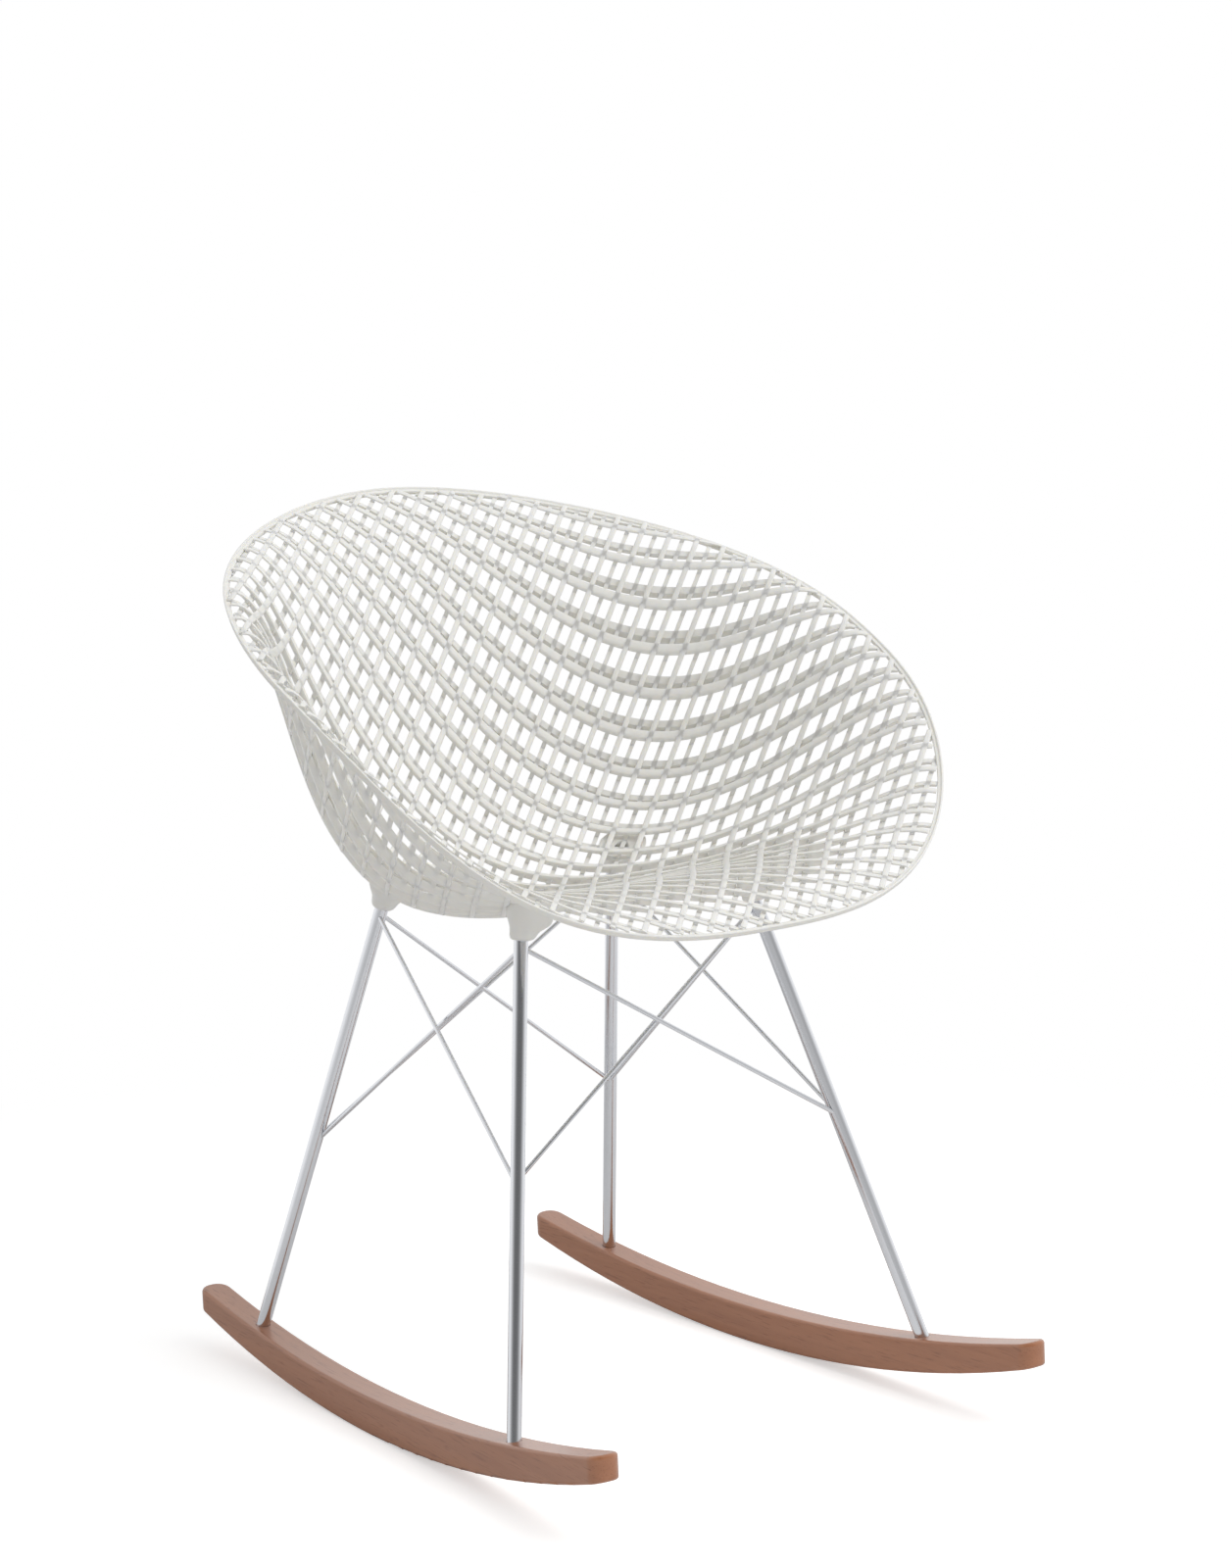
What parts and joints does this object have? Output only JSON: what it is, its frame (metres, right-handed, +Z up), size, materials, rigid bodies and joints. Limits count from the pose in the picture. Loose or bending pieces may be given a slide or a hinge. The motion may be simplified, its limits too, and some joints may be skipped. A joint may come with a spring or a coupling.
{
  "type": "rocking chair",
  "caption": "Bucket rocking chair: a moulded plastic lattice seat on splayed steel rod legs braced by crossed wires, standing on two curved wooden rockers.",
  "frame": {"origin": "on the floor, midway between the rockers, straight below their lowest points at rest", "axes": "+Z up, -Y towards the front of the seat, +X to the right of a viewer who faces the front"},
  "size_m": [0.614, 0.6847, 0.7874],
  "materials": {
    "shell_plastic": "warm white, satin, moulded lattice",
    "bright_steel": "bright plated rod and wire",
    "rocker_wood": "brown stain, satin lacquer, grain along the rocker",
    "screw_steel": "plated screw"
  },
  "bodies": {
    "root": {"seat_shell": "shell_plastic", "leg_front_left": "bright_steel", "leg_front_right": "bright_steel", "leg_rear_left": "bright_steel", "leg_rear_right": "bright_steel", "brace_front_falling_left": "bright_steel", "brace_front_falling_right": "bright_steel", "brace_rear_falling_left": "bright_steel", "brace_rear_falling_right": "bright_steel", "brace_left_falling_front": "bright_steel", "brace_left_falling_back": "bright_steel", "brace_right_falling_front": "bright_steel", "brace_right_falling_back": "bright_steel", "rocker_left": "rocker_wood", "rocker_right": "rocker_wood", "seat_screws": "screw_steel", "rocker_screws": "screw_steel"}
  },
  "joints": []
}
